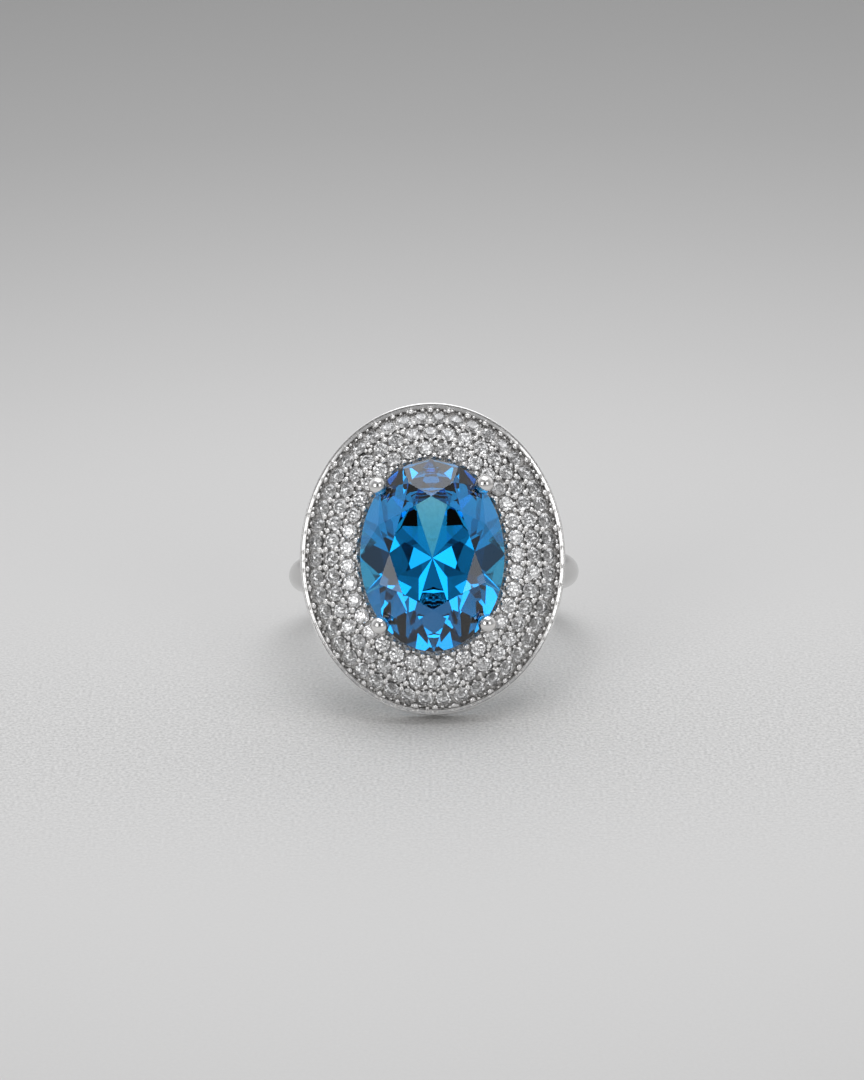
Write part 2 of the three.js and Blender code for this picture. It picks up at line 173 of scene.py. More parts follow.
def halo_height(offset):
    """Height of the domed halo at that offset from the stone's edge."""
    run = np.clip((offset - HALO_MARGIN) / (PLATE_EDGE - HALO_MARGIN), 0, 1)
    return PLATE_TOP_Z - HALO_FALL * run * (1 - HALO_BULGE + HALO_BULGE * run)


def halo_slope(offset):
    """Angle of the dome's surface at that offset, in radians, negative where it falls outwards."""
    step = 0.01
    return np.arctan2(halo_height(offset + step) - halo_height(offset - step), 2 * step)


def surface_frame(angle, offset):
    """Matrix that stands a small piece on the halo: its Z along the dome's normal, X along the row."""
    here = Vector(oval(angle, offset, float(halo_height(offset))))
    out = Vector(oval(angle, offset + 0.1, 0.0)) - Vector(oval(angle, offset, 0.0))
    out.normalize()
    slope = float(halo_slope(offset))
    normal = Vector((-out.x * math.sin(slope), -out.y * math.sin(slope), math.cos(slope)))
    row = Vector((-out.y, out.x, 0))
    down = normal.cross(row)
    turn = Matrix((row, down, normal)).transposed().to_4x4()
    return Matrix.Translation(here) @ turn


# ---- Meshes ----


def add_piece(name, mesh, material, smooth_angle=None):
    """An object of the ring, from a mesh in the design frame."""
    mesh.transform(to_world)
    mesh.materials.append(material)
    piece = bpy.data.objects.new(name, mesh)
    bpy.context.scene.collection.objects.link(piece)
    if smooth_angle is not None:
        mesh.shade_smooth()
        mesh.set_sharp_from_angle(angle=math.radians(smooth_angle))
    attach(piece, "root")
    return piece


def grid_mesh(name, points, closed_rows=True):
    """A quad mesh over an array of points of shape (rows, columns, 3), closed along its columns."""
    rows, columns = points.shape[:2]
    last_row = rows if closed_rows else rows - 1
    i, j = np.meshgrid(np.arange(last_row), np.arange(columns), indexing="ij")
    i2, j2 = (i + 1) % rows, (j + 1) % columns
    quads = np.stack([i * columns + j, i * columns + j2, i2 * columns + j2, i2 * columns + j], -1)
    mesh = bpy.data.meshes.new(name)
    mesh.from_pydata(points.reshape(-1, 3).tolist(), [], quads.reshape(-1, 4).tolist())
    tidy_normals(mesh)
    return mesh


def tube_mesh(name, sections):
    """A solid through closed sections of equal length, one after another, with its ends filled."""
    mesh = grid_mesh(name, sections, closed_rows=False)
    tidy_normals(mesh, close_ends=True)
    return mesh


def tidy_normals(mesh, close_ends=False):
    """Turn all faces outwards, and close the open ends of a tube first if asked."""
    work = bmesh.new()
    work.from_mesh(mesh)
    if close_ends:
        bmesh.ops.holes_fill(work, edges=work.edges, sides=0)
    bmesh.ops.recalc_face_normals(work, faces=work.faces)
    work.to_mesh(mesh)
    work.free()


CORNER_LIMIT = 0.45  # the most of a side that one corner's rounding takes up


def rounded(profile, radius, steps):
    """A closed polygon with each corner turned into an arc-like curve, kept clear of the next one's."""
    points = [np.array(p, float) for p in profile]
    out = []
    for k, corner in enumerate(points):
        before, after = points[k - 1], points[(k + 1) % len(points)]
        back, on = np.linalg.norm(before - corner), np.linalg.norm(after - corner)
        reach = min(radius, back * CORNER_LIMIT, on * CORNER_LIMIT)
        a = corner + (before - corner) / back * reach
        b = corner + (after - corner) / on * reach
        for t in np.linspace(0, 1, steps + 1):
            out.append((1 - t) ** 2 * a + 2 * t * (1 - t) * corner + t * t * b)
    return np.array(out)


def oval_sweep(name, profile, steps):
    """A closed ring round the oval, from [offset, height] profile points."""
    profile = np.asarray(profile)
    angles = np.linspace(0, 2 * math.pi, steps, endpoint=False)[:, None]
    return grid_mesh(name, oval(angles, profile[None, :, 0], profile[None, :, 1]))


def turned(name, start, end, profile, sides=32):
    """A turned solid about the line from start to end. The profile is (distance, radius) points."""
    axis = (end - start).normalized()
    side = axis.orthogonal().normalized()
    other = axis.cross(side)
    angles = np.linspace(0, 2 * math.pi, sides, endpoint=False)
    ring = np.outer(np.cos(angles), side) + np.outer(np.sin(angles), other)
    points = [np.array(start) + d * np.array(axis) + r * ring for d, r in profile]
    return tube_mesh(name, np.array(points))


def brilliant_flats(crown, girdle, pavilion, table, star, pavilion_star):
    """Three points on each flat of a round brilliant of radius 1, with its girdle's top at height 0."""
    half = math.cos(math.pi / 8)
    star_z = crown * (1 - star * half) / (1 - table)
    low_star_z = -girdle - pavilion * (1 - pavilion_star * half)

    def at(radius, eighths, z):
        """A point by its radius, its turn in eighths and its height."""
        angle = eighths * math.pi / 4
        return Vector((radius * math.cos(angle), radius * math.sin(angle), z))

    culet = Vector((0, 0, -girdle - pavilion))
    flats = []
    for k in range(8):
        tip = at(table, k, crown)
        star_tip = at(star, k + 0.5, star_z)
        low_tip = at(pavilion_star, k + 0.5, low_star_z)
        flats.append((tip, at(star, k - 0.5, star_z), star_tip))
        flats.append((tip, at(table, k + 1, crown), star_tip))
        flats.append((culet, at(1, k, -girdle), at(pavilion_star, k - 0.5, low_star_z)))
        for end in (k, k + 1):
            flats.append((star_tip, at(1, end, 0), at(1, k + 0.5, 0)))
            flats.append((low_tip, at(1, end, -girdle), at(1, k + 0.5, -girdle)))
    return flats


def cut_flat(work, flat, centre):
    """Slice the stone along one flat and close it, on the side away from its centre."""
    a, b, c = flat
    normal = (b - a).cross(c - a).normalized()
    if normal.dot(a - centre) < 0:
        normal = -normal
    geometry = work.verts[:] + work.edges[:] + work.faces[:]
    cut = bmesh.ops.bisect_plane(
        work, geom=geometry, dist=1e-6, plane_co=a, plane_no=normal, clear_outer=True
    )
    edges = [e for e in cut["geom_cut"] if isinstance(e, bmesh.types.BMEdge) and e.is_boundary]
    if edges:
        bmesh.ops.contextual_create(work, geom=edges)


def cut_stone(name, sides, crown, girdle, pavilion, **shares):
    """A round brilliant of radius 1, cut from a blank by one flat at a time, as on a lap."""
    work = bmesh.new()
    blank = bmesh.ops.create_cone(
        work, cap_ends=True, segments=sides, radius1=1, radius2=1, depth=crown + girdle + pavilion
    )
    bmesh.ops.translate(work, verts=blank["verts"], vec=(0, 0, (crown - girdle - pavilion) / 2))
    bmesh.ops.rotate(work, verts=work.verts, matrix=Matrix.Rotation(math.pi / sides, 3, "Z"))
    centre = Vector((0, 0, -girdle / 2))
    for flat in brilliant_flats(crown, girdle, pavilion, **shares):
        cut_flat(work, flat, centre)
    bmesh.ops.remove_doubles(work, verts=work.verts, dist=1e-5)
    bmesh.ops.dissolve_limit(work, angle_limit=1e-3, verts=work.verts, edges=work.edges)
    bmesh.ops.recalc_face_normals(work, faces=work.faces)
    mesh = bpy.data.meshes.new(name)
    work.to_mesh(mesh)
    work.free()
    return mesh


# ---- Materials ----


def new_material(name):
    """An empty material with one shader, and what is needed to add to it."""
    material = bpy.data.materials.new(name)
    material.use_nodes = True
    nodes = material.node_tree.nodes
    nodes.clear()
    output = nodes.new("ShaderNodeOutputMaterial")
    shader = nodes.new("ShaderNodeBsdfPrincipled")
    material.node_tree.links.new(shader.outputs["BSDF"], output.inputs["Surface"])
    return material, nodes, material.node_tree.links, shader, output


def noise(nodes, links, vector, scale, detail):
    """A noise texture's value at the given coordinates."""
    node = nodes.new("ShaderNodeTexNoise")
    node.inputs["Scale"].default_value = scale
    node.inputs["Detail"].default_value = detail
    links.new(vector, node.inputs["Vector"])
    return node.outputs["Fac"]


def new_range(nodes, links, value, limits, interpolation="LINEAR"):
    """A value blended over a range: (from low, from high, to low, to high)."""
    node = nodes.new("ShaderNodeMapRange")
    node.interpolation_type = interpolation
    for name, limit in zip(("From Min", "From Max", "To Min", "To Max"), limits):
        node.inputs[name].default_value = limit
    links.new(value, node.inputs["Value"])
    return node.outputs["Result"]


def new_math(nodes, links, operation, *values):
    """A sum on numbers and sockets."""
    node = nodes.new("ShaderNodeMath")
    node.operation = operation
    for k, value in enumerate(values):
        if isinstance(value, (int, float)):
            node.inputs[k].default_value = value
        else:
            links.new(value, node.inputs[k])
    return node.outputs[0]


def two_colours(nodes, links, factor, first, second):
    """A blend of two colours by a factor."""
    node = nodes.new("ShaderNodeMix")
    node.data_type = "RGBA"
    node.inputs["A"].default_value = (*first, 1)
    node.inputs["B"].default_value = (*second, 1)
    links.new(factor, node.inputs["Factor"])
    return node.outputs["Result"]


def new_bump(nodes, links, height, strength, distance):
    """A bump node over a height. The strength is left alone when it is None."""
    node = nodes.new("ShaderNodeBump")
    node.inputs["Distance"].default_value = distance * MM
    if strength is not None:
        node.inputs["Strength"].default_value = strength
    links.new(height, node.inputs["Height"])
    return node


# Scale of the slow change in a metal's shine, and how far its tint and roughness swing.
SHINE_SCALE = 420
TINT_DIP = 0.94
ROUGH_SWING = (0.7, 1.4)
SCRATCH_STRETCH = (1, 7, 2)
SCRATCH_DEPTH = 0.02


def bare_metal(name, roughness):
    """A metal material with an uneven shine, and what is needed to add to it."""
    material, nodes, links, shader, _ = new_material(name)
    shader.inputs["Metallic"].default_value = 1.0
    place = nodes.new("ShaderNodeTexCoord").outputs["Object"]
    cloud = noise(nodes, links, place, SHINE_SCALE, 4)
    low, high = (roughness * swing for swing in ROUGH_SWING)
    links.new(new_range(nodes, links, cloud, (0, 1, low, high)), shader.inputs["Roughness"])
    return material, nodes, links, shader, place, cloud


def metal(name, colour, roughness, scratch_scale, strength):
    """Polished white metal: soft uneven shine and hairline scratches."""
    material, nodes, links, shader, place, cloud = bare_metal(name, roughness)
    dimmer = [c * TINT_DIP for c in colour]
    links.new(two_colours(nodes, links, cloud, dimmer, colour), shader.inputs["Base Color"])
    stretch = nodes.new("ShaderNodeMapping")
    stretch.inputs["Scale"].default_value = SCRATCH_STRETCH
    links.new(place, stretch.inputs["Vector"])
    hair = noise(nodes, links, stretch.outputs["Vector"], scratch_scale, 6)
    bump = new_bump(nodes, links, hair, strength, SCRATCH_DEPTH)
    links.new(bump.outputs["Normal"], shader.inputs["Normal"])
    return material


def gem(name, ior, tint, absorb_colour=None, absorb_density=0):
    """A clear cut stone: refraction at its facets, colour from the way light travels inside."""
    material, nodes, links, shader, output = new_material(name)
    shader.inputs["Base Color"].default_value = (*tint, 1)
    shader.inputs["Roughness"].default_value = 0.0
    shader.inputs["IOR"].default_value = ior
    shader.inputs["Transmission Weight"].default_value = 1.0
    if absorb_colour:
        inside = nodes.new("ShaderNodeVolumeAbsorption")
        inside.inputs["Color"].default_value = (*absorb_colour, 1)
        inside.inputs["Density"].default_value = absorb_density
        links.new(inside.outputs["Volume"], output.inputs["Volume"])
    return material


# The punched grain of the plate: its scale, the noise range that its colour is sharpened over from painted
# shade to bare metal, and its bump.
PUNCH_SCALE = 11000
PUNCH_RANGE = (0.38, 0.62)
PUNCH_STRENGTH = 0.9
PUNCH_DEPTH = 0.05


def grain_shaded_metal(name, dark, light, roughness):
    """The plate between the stones: cut and punched, so it glints grain by grain, with shade painted into
    its colour, dark grains for the shade between the stones and light ones of bare metal.
    """
    material, nodes, links, shader, place, _ = bare_metal(name, roughness)
    grain = noise(nodes, links, place, PUNCH_SCALE, 2)
    shade_mask = new_range(nodes, links, grain, (*PUNCH_RANGE, 0, 1))
    # Painted shade: the colour goes grain by grain from the dark shade colour to the light metal colour.
    links.new(two_colours(nodes, links, shade_mask, dark, light), shader.inputs["Base Color"])
    bump = new_bump(nodes, links, grain, PUNCH_STRENGTH, PUNCH_DEPTH)
    links.new(bump.outputs["Normal"], shader.inputs["Normal"])
    return material


WHITE_METAL = metal("white_metal", (0.86, 0.85, 0.84), 0.14, 2600, 0.15)
# The band and shoulders: the white metal painted darker, as shade on them.
SHADED_BAND_METAL = metal("band_metal_painted_shade", (0.64, 0.635, 0.63), 0.16, 2600, 0.12)
RIM_METAL = metal("rim_metal", (0.88, 0.875, 0.87), 0.2, 2600, 0.05)
# The plate's top, painted dark as the shade between the small stones, with lighter grains of bare metal.
RECESS_SHADE_METAL = grain_shaded_metal("recess_metal_painted_shade", (0.16, 0.155, 0.15), (0.74, 0.73, 0.72), 0.3)
# The beads: the white metal painted brighter, as highlight on them.
LIT_BEAD_METAL = metal("bead_metal_painted_highlight", (0.95, 0.94, 0.93), 0.22, 4000, 0.1)
TOPAZ = gem("blue_topaz", 1.73, (1, 1, 1), (0.0, 0.79, 0.965), 430)
CLEAR = gem("clear_stone", 2.3, (0.85, 0.85, 0.855))

# ---- Centre stone and prongs ----

GIRDLE_SIDES = 96
PRONG_BALL_SWELL = 1.1  # the ball against the CAD model's
PRONG_FOOT = [(0.0, 0.8), (0.06, 0.96), (0.14, 1.0)]  # distance, and radius as a share of the wire's
PRONG_HEAD = [(1.6, 1.0), (1.15, 0.97)]  # ball radii short of the ball's centre, and the same share
PRONG_NECK = 0.92  # the same share where the wire meets the ball
BALL_STEPS = 18
BALL_TIP = 0.12  # radians short of the ball's pole, where the mesh is closed flat


def centre_stone():
    """The faceted oval: a round brilliant stretched to the stone's length."""
    width = HALF_WIDTH
    mesh = cut_stone(
        "centre_stone_cut",
        sides=GIRDLE_SIDES,
        crown=CROWN_HEIGHT / width,
        girdle=GIRDLE_THICKNESS / width,
        pavilion=(GIRDLE_BOTTOM_Z - CULET_Z) / width,
        table=TABLE_SHARE,
        star=STAR_SHARE,
        pavilion_star=PAVILION_STAR_SHARE,
    )
    fit = Matrix.Diagonal((width, HALF_LENGTH, width, 1))
    mesh.transform(Matrix.Translation((0, 0, GIRDLE_TOP_Z)) @ fit)
    piece = add_piece("centre_stone_cut", mesh, TOPAZ)
    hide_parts("centre_stone")


def prongs():
    """Round wires that end in balls, pushed down onto the crown."""
    wire = PRONG_DIAMETER / 2
    ball = PRONG_BALL_DIAMETER / 2 * PRONG_BALL_SWELL
    neck = math.asin(wire * PRONG_NECK / ball)
    for k in range(4):
        angle = (2 * k + 1) * math.pi / 4
        foot = Vector(oval(angle, -BASE_RAIL_INSET, RAIL_TOP_Z))
        head = Vector(oval(angle, PRONG_OUTSET, GIRDLE_TOP_Z + PRONG_RISE))
        length = (head - foot).length
        profile = [(distance, share * wire) for distance, share in PRONG_FOOT]
        profile += [(length - back * ball, share * wire) for back, share in PRONG_HEAD]
        for turn in np.linspace(neck, math.pi - BALL_TIP, BALL_STEPS):
            profile.append((length - ball * math.cos(turn), ball * math.sin(turn)))
        mesh = turned(f"prong_wire_{k + 1}", foot, head, profile)
        piece = add_piece(f"prong_wire_{k + 1}", mesh, WHITE_METAL, 40)
        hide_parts(f"prong_{k + 1}")


RAIL_STEPS = 160
RAIL_ROUNDING = 0.2
SEAT_RAIL_SIDES = 20


def rails():
    """The square wire over the finger and the round wire under the girdle."""
    low, high = RAIL_BOTTOM_Z, RAIL_TOP_Z
    outer = -BASE_RAIL_INSET + BASE_RAIL_WIDTH / 2
    inner = outer - BASE_RAIL_WIDTH
    corners = [(inner, low), (outer, low), (outer, high), (inner, high)]
    mesh = oval_sweep("base_rail_wire", rounded(corners, RAIL_ROUNDING, 5), RAIL_STEPS)
    piece = add_piece("base_rail_wire", mesh, WHITE_METAL, 50)
    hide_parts("base_rail")
    turn = np.linspace(0, 2 * math.pi, SEAT_RAIL_SIDES, endpoint=False)
    circle = np.stack([np.cos(turn), np.sin(turn)], -1)
    profile = (SEAT_RAIL_OFFSET, SEAT_RAIL_Z) + SEAT_RAIL_DIAMETER / 2 * circle
    mesh = oval_sweep("seat_rail_wire", profile, RAIL_STEPS)
    piece = add_piece("seat_rail_wire", mesh, WHITE_METAL, 50)
    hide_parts("seat_rail")


# ---- Halo ----


def stone_places():
    """(row, angle, offset) of every small stone."""
    places = []
    for row, offset in enumerate(ROW_OFFSETS):
        count = round(curve_length(offset) / (PAVE_DIAMETER + PAVE_SPACING))
        places += [(row, angle, offset) for angle in evenly(offset, count)]
    return places


PLACES = stone_places()

# The plate is cut down round its stones, so that only the beads stand up, with a bowl under each stone.
CUT_DEPTH = 0.17
BOWL_DEPTH = PAVE_PAVILION + 0.06
BOWL_RADIUS = PAVE_DIAMETER / 2 + 0.02
BOWL_STEEPNESS = 1.25
BOWL_LIP = 0.3  # share of the cut's depth that a bowl starts below
CUT_EDGE = ROW_OFFSETS[-1] + PAVE_DIAMETER / 2 + 0.14  # offset where the cut ends
CUT_SLOPE = 0.06
PLATE_INNER = -0.2  # offset of the plate's inner edge, just under the stone's girdle
PLATE_STEPS = 1000  # round the plate
PLATE_COLUMNS = 84  # across its top
UNDER_COLUMNS = 12
FAR_AWAY = 9.0


def nearest_stone(points):
    """Distance from each point to the middle of the nearest small stone, seen from above."""
    flat = points[..., :2].reshape(-1, 2)
    nearest = np.full(len(flat), FAR_AWAY)
    for _, angle, offset in PLACES:
        centre = oval(angle, offset, 0.0)[:2]
        nearest = np.minimum(nearest, np.hypot(*(flat - centre).T))
    return nearest.reshape(points.shape[:2])


def plate_top(angles, offsets):
    """Points of the plate's worked top."""
    points = oval(angles, offsets, 0.0)
    height = np.broadcast_to(halo_height(offsets), points.shape[:2])
    worked = np.clip((CUT_EDGE + CUT_SLOPE - offsets) / CUT_SLOPE, 0, 1)
    bowl = np.clip(1 - nearest_stone(points) / BOWL_RADIUS, 0, 1)
    depth = CUT_DEPTH + np.clip(BOWL_DEPTH * bowl * BOWL_STEEPNESS - CUT_DEPTH * BOWL_LIP, 0, 1)
    points[..., 2] = height - worked * depth
    return points


def halo_plate():
    """The domed plate that carries the small stones, worked on top and smooth below."""
    angles = np.linspace(0, 2 * math.pi, PLATE_STEPS, endpoint=False)[:, None]
    top = plate_top(angles, np.linspace(PLATE_INNER, PLATE_EDGE, PLATE_COLUMNS)[None, :])
    under_offsets = np.linspace(PLATE_EDGE, PLATE_INNER, UNDER_COLUMNS)[None, :]
    under = oval(angles, under_offsets, halo_height(under_offsets) - PLATE_THICKNESS)
    mesh = grid_mesh("halo_plate_set", np.concatenate([top, under], 1))
    # Its worked top takes the metal with painted shade between the stones; its underside takes the plain
    # white metal.
    piece = add_piece("halo_plate_set", mesh, RECESS_SHADE_METAL, 35)
    mesh.materials.append(WHITE_METAL)
    columns = PLATE_COLUMNS + UNDER_COLUMNS
    smooth = [int(k % columns >= PLATE_COLUMNS - 1) for k in range(len(mesh.polygons))]
    mesh.polygons.foreach_set("material_index", smooth)
    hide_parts("halo_plate")


RIM_STEPS = 320
LIP_WIDTH = 0.085
LIP_BEVEL = 0.05
LEDGE_WIDTH = 0.25  # the rim reaches this far in under the plate
LEDGE_DEPTH = 0.15


def halo_rim():
    """Side wall with a thin bright lip, standing round the plate."""
    inner = PLATE_EDGE + 0.01
    plate_z = float(halo_height(PLATE_EDGE))
    under_z = plate_z - PLATE_THICKNESS
    corners = [
        (inner, RIM_BOTTOM_Z),
        (RIM_OUTER, RIM_BOTTOM_Z),
        (RIM_OUTER, RIM_TOP_Z - LIP_BEVEL),
        (RIM_OUTER - LIP_WIDTH * 0.75, RIM_TOP_Z),
        (RIM_OUTER - LIP_WIDTH, RIM_TOP_Z),
        (RIM_OUTER - LIP_WIDTH * 1.2, plate_z - 0.08),
        (inner, plate_z - 0.12),
        (inner, under_z),
        (inner - LEDGE_WIDTH, under_z),
        (inner - LEDGE_WIDTH, under_z - LEDGE_DEPTH),
    ]
    mesh = oval_sweep("halo_rim_polished", rounded(corners, 0.03, 3), RIM_STEPS)
    piece = add_piece("halo_rim_polished", mesh, RIM_METAL, 60)
    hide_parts("halo_rim")


def join_copies(name, pattern, matrices):
    """One mesh that holds a copy of the pattern at each place."""
    vertices = np.array([v.co for v in pattern.vertices])
    faces = [tuple(p.vertices) for p in pattern.polygons]
    all_vertices, all_faces = [], []
    for matrix in matrices:
        start = len(all_vertices)
        turn = np.array(matrix.to_3x3())
        shift = np.array(matrix.to_translation())
        all_vertices.extend((vertices @ turn.T + shift).tolist())
        all_faces.extend([tuple(start + i for i in face) for face in faces])
    mesh = bpy.data.meshes.new(name)
    mesh.from_pydata(all_vertices, [], all_faces)
    return mesh


PAVE_VISIBLE = 0.97  # a little over the CAD model's stone, whose girdle the beads hide
PAVE_GIRDLE = 0.02
PAVE_TURN = 2.4  # radians from one stone to the next, so that no two sparkle alike
PAVE_LEAN = math.radians(5)


def pave_stones():
    """Three rows of small stones, each one turned and leaned its own way."""
    radius = PAVE_DIAMETER / 2
    pattern = cut_stone(
        "pave_pattern",
        sides=16,
        crown=PAVE_CROWN / radius,
        girdle=PAVE_GIRDLE / radius,
        pavilion=PAVE_PAVILION / radius,
        table=0.56,
        star=0.78,
        pavilion_star=0.25,
    )
    size = Matrix.Scale(PAVE_VISIBLE / 2, 4)
    for row, name in enumerate(ROW_NAMES):
        matrices = []
        for k, (_, angle, offset) in enumerate(p for p in PLACES if p[0] == row):
            turn = Matrix.Rotation(k * PAVE_TURN + row, 4, "Z")
            lean = Matrix.Rotation(PAVE_LEAN * math.sin(k * 5.1 + row), 4, "X")
            lean = lean @ Matrix.Rotation(PAVE_LEAN * math.sin(k * 3.3 + row * 2), 4, "Y")
            matrices.append(surface_frame(angle, offset) @ lean @ turn @ size)
        mesh = join_copies(f"pave_stones_{name}", pattern, matrices)
        piece = add_piece(f"pave_stones_{name}", mesh, CLEAR)
        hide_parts(f"pave_row_{name}")


# How far the two beads in each gap of a row stand outside and inside the row's line.
BEAD_OFFSETS = [(0.33, -0.5), (0.34, -0.32), (0.5, -0.3)]
BEAD_RADIUS = 0.19
BEAD_LIFT = 0.03
BEAD_WOBBLE = 0.02  # handwork is never quite even
SIZE_SWING = 0.1
# Lines of fine grains run along the seams between the rows and along the plate's two edges.
SEAM_OFFSETS = [(a + b) / 2 for a, b in zip(ROW_OFFSETS, ROW_OFFSETS[1:])]
EDGE_OFFSETS = [ROW_OFFSETS[0] - 0.58, ROW_OFFSETS[-1] + 0.55]
GRAIN_SPACING = 0.47
GRAIN_SIZE = 0.6  # against a bead
GRAIN_WOBBLE = 0.05


def bead_pattern():
    """A ball with a flared foot that reaches down to the plate."""
    work = bmesh.new()
    bmesh.ops.create_icosphere(work, subdivisions=3, radius=BEAD_RADIUS)
    for vertex in work.verts:
        if vertex.co.z < 0:
            flare = 1 - 0.3 * vertex.co.z / BEAD_RADIUS
            vertex.co.x *= flare
            vertex.co.y *= flare
            vertex.co.z *= 1.8
    pattern = bpy.data.meshes.new("bead_pattern")
    work.to_mesh(pattern)
    work.free()
    return pattern


def beads():
    """Two beads in each gap between neighbouring stones, and lines of fine grains between the rows."""
    matrices = []
    for row, offset in enumerate(ROW_OFFSETS):
        count = sum(1 for place in PLACES if place[0] == row)
        for k, angle in enumerate(evenly(offset, count, 0.5)):
            for side, shift in enumerate(BEAD_OFFSETS[row]):
                wobble = BEAD_WOBBLE * math.sin(k * 3.7 + side * 2 + row)
                size = Matrix.Scale(1 + SIZE_SWING * math.sin(k * 2.3 + side), 4)
                lift = Matrix.Translation((wobble, 0, BEAD_LIFT))
                matrices.append(surface_frame(angle, offset + shift) @ lift @ size)
    for line, offset in enumerate(SEAM_OFFSETS + EDGE_OFFSETS):
        count = round(curve_length(offset) / GRAIN_SPACING)
        for k, angle in enumerate(evenly(offset, count)):
            size = Matrix.Scale(GRAIN_SIZE + SIZE_SWING * math.sin(k * 2.9 + line), 4)
            wobble = GRAIN_WOBBLE * math.sin(k * 4.3 + line)
            matrices.append(surface_frame(angle, offset + wobble) @ size)
    mesh = join_copies("pave_beads", bead_pattern(), matrices)
    add_piece("pave_beads", mesh, LIT_BEAD_METAL, 80)


# ---- Shank, shoulders and struts ----

TIP_DEPTH = 0.75  # how far the band's tips reach in under the base rail
BAND_STEPS = 240
BACK_STEPS = 17
INSIDE_STEPS = 9
INSIDE_SHARE = 0.86  # the flat inside's share of the width
EDGE_STEPS = [(0.03, 0.96), (0.12, 1.0)]  # height over the finger, and share of the half width


def band_section(half):
    """The band's section as (radius, y) points: flat inside, soft edges, rounded outside."""
    outline = [(FINGER_RADIUS, y * half * INSIDE_SHARE) for y in np.linspace(-1, 1, INSIDE_STEPS)]
    outline += [(FINGER_RADIUS + rise, half * share) for rise, share in EDGE_STEPS]
    spring = FINGER_RADIUS + SHANK_SIDE_LAND
    for turn in np.linspace(0, math.pi, BACK_STEPS):
        radius = spring + (SHANK_RADIUS - spring) * math.sin(turn)
        outline.append((radius, half * math.cos(turn)))
    outline += [(FINGER_RADIUS + rise, -half * share) for rise, share in reversed(EDGE_STEPS)]
    return np.array(outline).T


def shank():
    """D-shaped band, wider towards the head, with its tips let in under the base rail."""
    tip = HALF_WIDTH - BASE_RAIL_INSET + BASE_RAIL_WIDTH / 2
    start = math.asin((tip - TIP_DEPTH) / SHANK_RADIUS)
    rows = []
    for angle in np.linspace(start, 2 * math.pi - start, BAND_STEPS):
        from_base = abs(angle - math.pi) / math.pi
        radius, y = band_section((SHANK_WIDTH_BASE + (SHANK_WIDTH_TOP - SHANK_WIDTH_BASE) * from_base) / 2)
        x, z = np.sin(angle) * radius, np.cos(angle) * radius
        under_rail = (np.abs(x) < tip + 0.02) & (z > RAIL_BOTTOM_Z)
        rows.append(np.stack([x, y, np.where(under_rail, RAIL_BOTTOM_Z, z)], -1))
    mesh = tube_mesh("shank_band", np.array(rows))
    piece = add_piece("shank_band", mesh, SHADED_BAND_METAL, 40)
    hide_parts("shank")


# A shoulder's section, level by level: it is let into the band below and is slimmest at its waist.
WEB_LEVELS = 16
WEB_ROOT = 0.4  # how far its foot goes down inside the band
WEB_BURIED = FINGER_RADIUS + 0.3  # radius from the finger's axis that its inner face stays outside
WEB_INNER = (4.45, 5.0)  # x of its inner face at the foot, and further up
WEB_INNER_RATE = 1.4
WEB_WAIST = 6.78  # x of its outer face at the waist
WEB_FLARE = 0.24
WAIST_WIDTH = 0.8  # share of its width at the waist
WIDTH_FLARE = 0.45
WEB_ROUNDING = 0.6


def shoulders():
    """Webs that sweep from the back of each arm up to the halo, with rounded edges."""
    for side, name in ((1, "right"), (-1, "left")):
        low, high = design_box(f"shoulder_{name}")
        bottom, top = low[2] - WEB_ROOT, high[2]
        rows = []
        for level in np.linspace(0, 1, WEB_LEVELS):
            z = bottom + (top - bottom) * level
            buried = math.sqrt(max(WEB_BURIED**2 - z * z, 0))
            rise = min(level * WEB_INNER_RATE, 1)
            inner = max(buried, WEB_INNER[0] + (WEB_INNER[1] - WEB_INNER[0]) * rise)
            ends = (2 * level - 1) ** 2
            outer = WEB_WAIST + WEB_FLARE * ends
            half = SHOULDER_WIDTH / 2 * (WAIST_WIDTH + WIDTH_FLARE * ends * ends)
            corners = [(inner, -half), (outer, -half), (outer, half), (inner, half)]
            x, y = rounded(corners, WEB_ROUNDING, 7).T
            rows.append(np.stack([side * x, y, np.full(len(x), z)], -1))
        mesh = tube_mesh(f"shoulder_web_{name}", np.array(rows))
        piece = add_piece(f"shoulder_web_{name}", mesh, SHADED_BAND_METAL, 40)
        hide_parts(f"shoulder_{name}")


STRUT_STEPS = 14
STRUT_FLARE = 0.25  # how much wider a strut is at its ends
STRUT_BITE = 0.1  # how far its top runs into the plate


def struts():
    """Round wires from the base rail up to the halo's underside, flared where they are soldered."""
    angles = [STRUT_ANGLE, 180 - STRUT_ANGLE, 180 + STRUT_ANGLE, -STRUT_ANGLE]
    top_z = float(halo_height(STRUT_REACH)) - PLATE_THICKNESS + STRUT_BITE
    for k, degrees in enumerate(angles):
        angle = math.radians(degrees)
        foot = Vector(oval(angle, -BASE_RAIL_INSET, (RAIL_BOTTOM_Z + RAIL_TOP_Z) / 2))
        top = Vector(oval(angle, STRUT_REACH, top_z))
        length = (top - foot).length
        profile = []
        for share in np.linspace(0, 1, STRUT_STEPS):
            flare = 1 + STRUT_FLARE * abs(2 * share - 1) ** 6
            profile.append((share * length, STRUT_DIAMETER / 2 * flare))
        mesh = turned(f"gallery_wire_{k + 1}", foot, top, profile, 24)
        piece = add_piece(f"gallery_wire_{k + 1}", mesh, WHITE_METAL, 60)
        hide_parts(f"gallery_strut_{k + 1}")


# ---- Floor, light and camera ----

FLOOR_SIZE = 2.0  # metres from its middle to its edge
